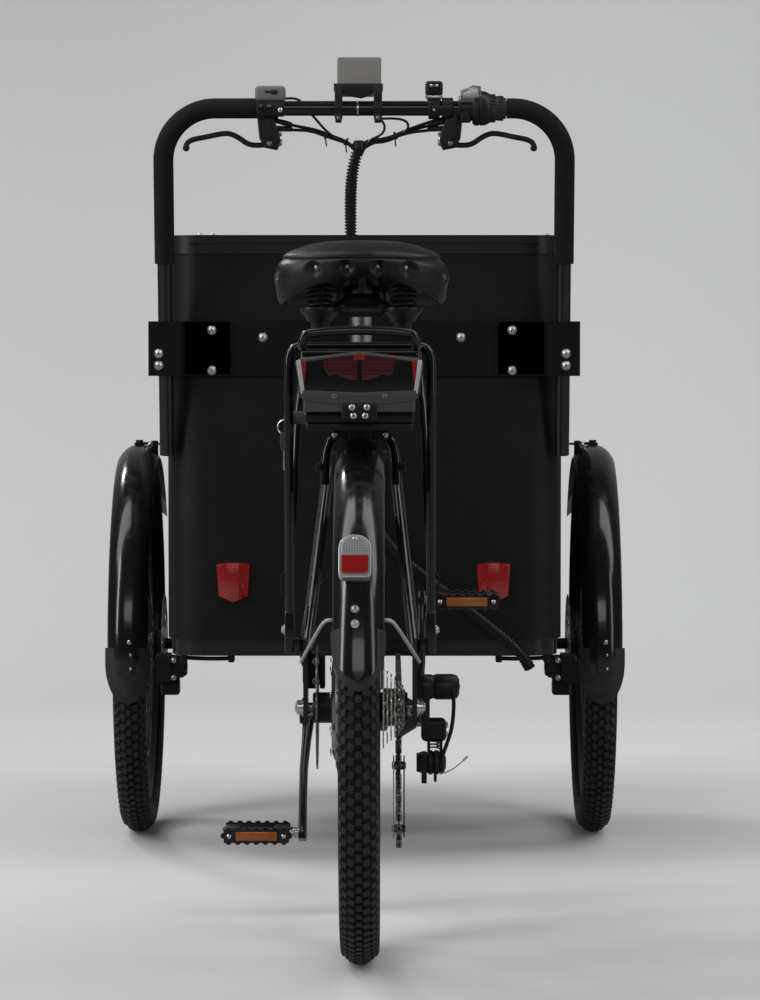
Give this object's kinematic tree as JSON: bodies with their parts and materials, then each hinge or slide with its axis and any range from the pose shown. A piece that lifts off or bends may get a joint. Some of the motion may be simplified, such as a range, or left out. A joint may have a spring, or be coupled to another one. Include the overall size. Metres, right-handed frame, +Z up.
{
  "type": "electric cargo tricycle with a front load box",
  "caption": "Front-loading electric cargo tricycle: deep open box between steered front wheels, U handlebar, sprung saddle, rear rack.",
  "frame": {"origin": "on the floor under the middle of the whole vehicle's box", "axes": "+Z up, +Y the way it rides, +X the rider's right"},
  "size_m": [0.812, 2.1456, 1.2231],
  "materials": {
    "alloy": "bare alloy",
    "black_gloss": "gloss black powder coat",
    "black_satin": "satin black powder coat",
    "box_skin": "matt black laminated panel",
    "clear_lens": "clear lens over a bright reflector",
    "plastic": "black moulded plastic",
    "red_lens": "clear red lens",
    "rim_alloy": "black anodised rim",
    "rubber": "matt black rubber or foam",
    "saddle": "soft black vinyl",
    "screen": "dark glossy screen",
    "steel": "bare steel",
    "tyre": "black tread rubber"
  },
  "bodies": {
    "rear_frame": {"main_frame": "black_gloss", "seat_collar": "black_gloss", "rear_triangle": "black_gloss", "seat_post": "alloy", "saddle_undercarriage": "black_gloss", "saddle": "saddle", "rear_rack": "black_gloss", "battery": "plastic", "battery_tray": "black_satin", "tail_lamp": "red_lens", "mudguard_rear": "black_gloss", "mud_flap_rear": "rubber", "guard_lamp": "clear_lens", "guard_stays_rear": "alloy", "chain": "steel", "derailleur": "black_gloss", "rear_axle": "steel", "brake_caliper_rear": "black_gloss"},
    "front_module": {"box_rear_panel": "box_skin", "box_front_panel": "box_skin", "box_side_panel_left": "box_skin", "box_side_panel_right": "box_skin", "box_floor": "box_skin", "box_rim": "black_satin", "box_base_frame": "black_gloss", "steering_pin": "black_gloss", "front_axle": "black_gloss", "brake_calipers_front": "black_gloss", "mudguards_front": "black_gloss", "mud_flaps_front": "rubber", "guard_brackets": "black_gloss", "handlebar": "black_satin", "grips": "rubber", "handlebar_band": "black_gloss", "handlebar_clamps": "black_gloss", "brake_levers": "black_satin", "display_bracket": "plastic", "display": "screen", "thumb_control": "plastic", "bell": "plastic", "twist_shifter": "plastic", "cable_loom": "rubber", "reflectors": "red_lens", "headlamp": "plastic"},
    "front_wheel_left": {"tyre_front_left": "tyre", "rim_front_left": "rim_alloy", "hub_front_left": "steel"},
    "front_wheel_right": {"tyre_front_right": "tyre", "rim_front_right": "rim_alloy", "hub_front_right": "steel"},
    "rear_wheel": {"tyre_rear": "tyre", "rim_rear": "rim_alloy", "hub_rear": "steel", "cassette": "steel"},
    "crank": {"chainring": "black_satin", "cranks": "black_satin"},
    "pedal_left": {"pedal_left": "plastic"},
    "pedal_right": {"pedal_right": "plastic"}
  },
  "joints": [
    {"name": "steering", "type": "hinge", "parent": "rear_frame", "child": "front_module", "pos_m": [0, 0.44575, 0.28], "axis": [0, 0, 1], "range_deg": [-30, 30]},
    {"name": "front_wheel_left_spin", "type": "hinge", "parent": "front_module", "child": "front_wheel_left", "pos_m": [-0.368, 0.57575, 0.3055], "axis": [1, 0, 0], "continuous": true},
    {"name": "front_wheel_right_spin", "type": "hinge", "parent": "front_module", "child": "front_wheel_right", "pos_m": [0.368, 0.57575, 0.3055], "axis": [1, 0, 0], "continuous": true},
    {"name": "rear_wheel_spin", "type": "hinge", "parent": "rear_frame", "child": "rear_wheel", "pos_m": [0, -0.72425, 0.3315], "axis": [1, 0, 0], "continuous": true},
    {"name": "crank_spin", "type": "hinge", "parent": "rear_frame", "child": "crank", "pos_m": [0, -0.24425, 0.272], "axis": [1, 0, 0], "continuous": true},
    {"name": "pedal_left_spin", "type": "hinge", "parent": "crank", "child": "pedal_left", "pos_m": [-0.148, -0.30239, 0.11225], "axis": [1, 0, 0], "continuous": true},
    {"name": "pedal_right_spin", "type": "hinge", "parent": "crank", "child": "pedal_right", "pos_m": [0.148, -0.18611, 0.43175], "axis": [1, 0, 0], "continuous": true}
  ]
}
